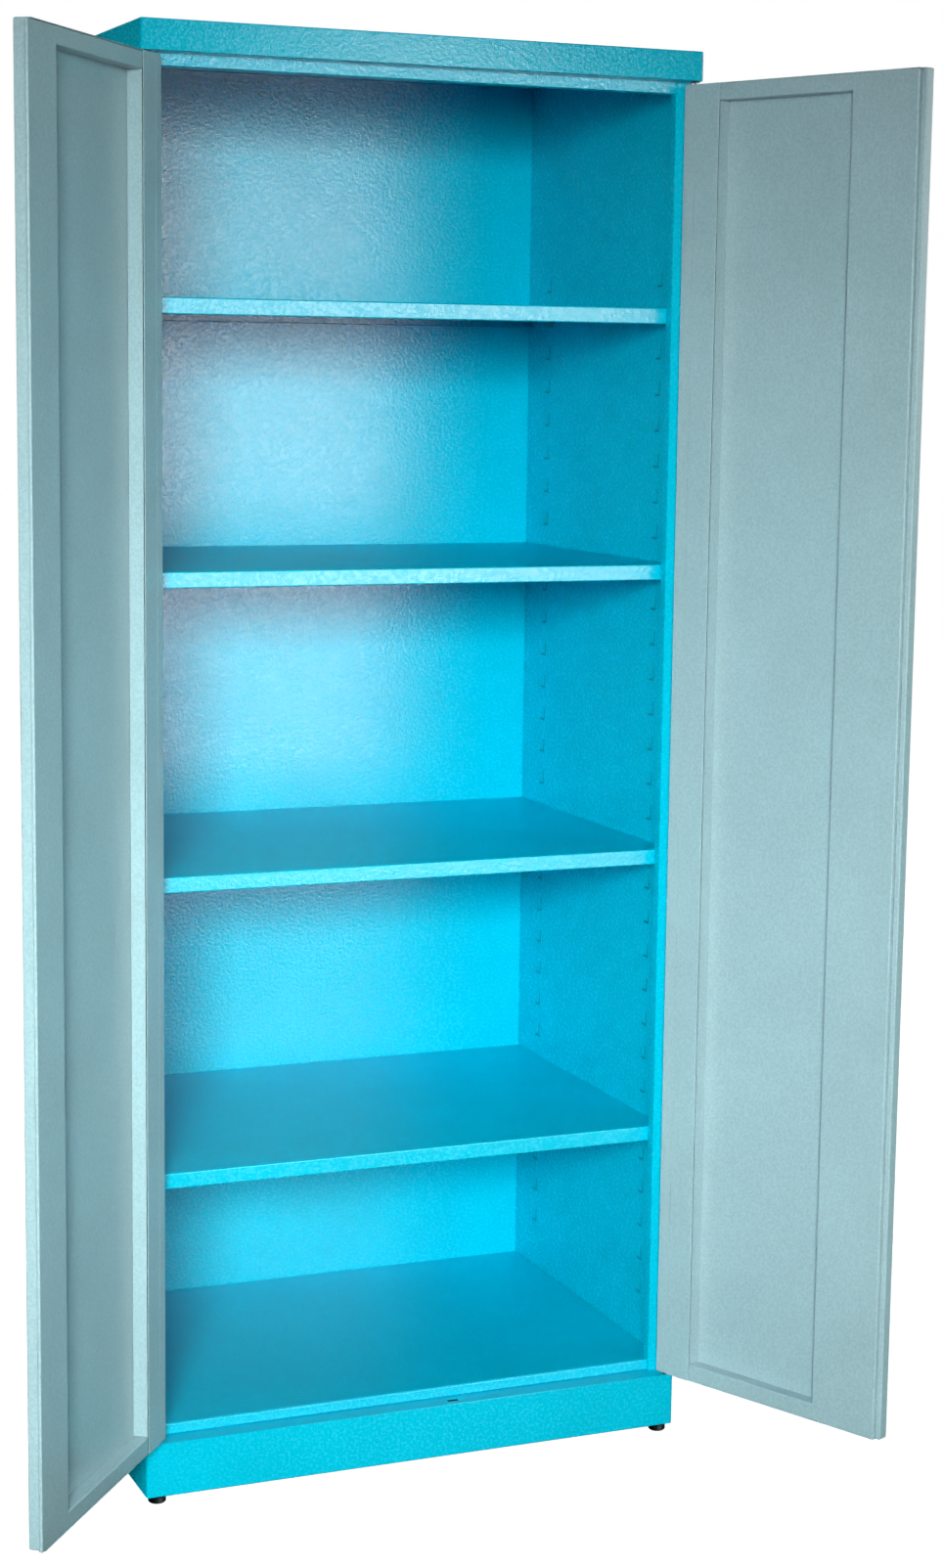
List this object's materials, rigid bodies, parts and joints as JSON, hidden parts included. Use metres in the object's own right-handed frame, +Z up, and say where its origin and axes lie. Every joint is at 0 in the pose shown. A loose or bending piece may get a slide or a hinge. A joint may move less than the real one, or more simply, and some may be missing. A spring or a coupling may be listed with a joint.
{
  "type": "tool cabinet",
  "caption": "Tall sheet-steel tool cabinet with hinged double doors, adjustable shelves, a lever handle and a rod lock.",
  "frame": {"origin": "on the floor, in the middle of the footprint of the cabinet with its doors open as at rest", "axes": "+X to the right along the front, the front faces -Y, +Z up"},
  "size_m": [1.1683, 0.9078, 1.93],
  "materials": {
    "body_paint": "sky-blue fine-textured powder coat, satin",
    "door_paint": "light grey powder coat, satin",
    "zinc_steel": "bright zinc plate",
    "foot_steel": "dark oiled steel",
    "black_plastic": "moulded, satin"
  },
  "bodies": {
    "cabinet": {"back_panel": "body_paint", "floor_panel": "body_paint", "front_left_foot": "foot_steel", "front_right_foot": "foot_steel", "header_rail": "body_paint", "left_bottom_pivot_bush": "black_plastic", "left_side_panel": "body_paint", "left_top_pivot_bush": "black_plastic", "plinth_front": "body_paint", "plinth_left": "body_paint", "plinth_rear": "body_paint", "plinth_right": "body_paint", "rear_left_foot": "foot_steel", "rear_right_foot": "foot_steel", "right_bottom_pivot_bush": "black_plastic", "right_side_panel": "body_paint", "right_top_pivot_bush": "black_plastic", "shelf_1": "body_paint", "shelf_1_clip_front_left": "zinc_steel", "shelf_1_clip_front_right": "zinc_steel", "shelf_1_clip_rear_left": "zinc_steel", "shelf_1_clip_rear_right": "zinc_steel", "shelf_2": "body_paint", "shelf_2_clip_front_left": "zinc_steel", "shelf_2_clip_front_right": "zinc_steel", "shelf_2_clip_rear_left": "zinc_steel", "shelf_2_clip_rear_right": "zinc_steel", "shelf_3": "body_paint", "shelf_3_clip_front_left": "zinc_steel", "shelf_3_clip_front_right": "zinc_steel", "shelf_3_clip_rear_left": "zinc_steel", "shelf_3_clip_rear_right": "zinc_steel", "shelf_4": "body_paint", "shelf_4_clip_front_left": "zinc_steel", "shelf_4_clip_front_right": "zinc_steel", "shelf_4_clip_rear_left": "zinc_steel", "shelf_4_clip_rear_right": "zinc_steel", "sill_rail": "body_paint", "top_cap": "body_paint"},
    "left_door": {"left_door_bottom_pivot": "zinc_steel", "left_door_frame": "door_paint", "left_door_hinge_stile": "door_paint", "left_door_skin": "door_paint", "left_door_top_pivot": "zinc_steel"},
    "right_door": {"right_door_bottom_pivot": "zinc_steel", "right_door_frame": "door_paint", "right_door_hinge_stile": "door_paint", "right_door_skin": "door_paint", "right_door_top_pivot": "zinc_steel", "lock_bush": "zinc_steel", "lock_nut": "zinc_steel", "upper_rod_guide": "black_plastic", "lower_rod_guide": "black_plastic"},
    "handle_and_cam": {"handle": "black_plastic", "lock_cam": "zinc_steel"},
    "key_plug": {"key_plug": "zinc_steel"},
    "upper_rod": {"upper_lock_rod": "zinc_steel"},
    "lower_rod": {"lower_lock_rod": "zinc_steel"}
  },
  "joints": [
    {"name": "left_door_hinge", "type": "hinge", "parent": "cabinet", "child": "left_door", "pos_m": [-0.34389, -0.10214, 1], "axis": [0, 0, -1], "range_deg": [-128.3, 51.7]},
    {"name": "right_door_hinge", "type": "hinge", "parent": "cabinet", "child": "right_door", "pos_m": [0.41811, -0.10214, 1], "axis": [0, 0, 1], "range_deg": [-114.2, 65.8]},
    {"name": "handle_turn", "type": "hinge", "parent": "right_door", "child": "handle_and_cam", "pos_m": [0.55576, -0.39769, 0.985], "axis": [-0.9121, -0.4099, 0], "range_deg": [0, 90]},
    {"name": "key_turn", "type": "hinge", "parent": "handle_and_cam", "child": "key_plug", "pos_m": [0.55576, -0.39769, 0.985], "axis": [-0.9121, -0.4099, 0], "range_deg": [0, 90]},
    {"name": "upper_rod_slide", "type": "slide", "parent": "right_door", "child": "upper_rod", "axis": [0, 0, 1], "range_m": [0, 0.014]},
    {"name": "lower_rod_slide", "type": "slide", "parent": "right_door", "child": "lower_rod", "axis": [0, 0, -1], "range_m": [0, 0.014]}
  ],
  "couplings": [
    {"joint": "upper_rod_slide", "follows": "handle_turn", "m_per_rad": 0.0089},
    {"joint": "lower_rod_slide", "follows": "handle_turn", "m_per_rad": 0.0089}
  ]
}
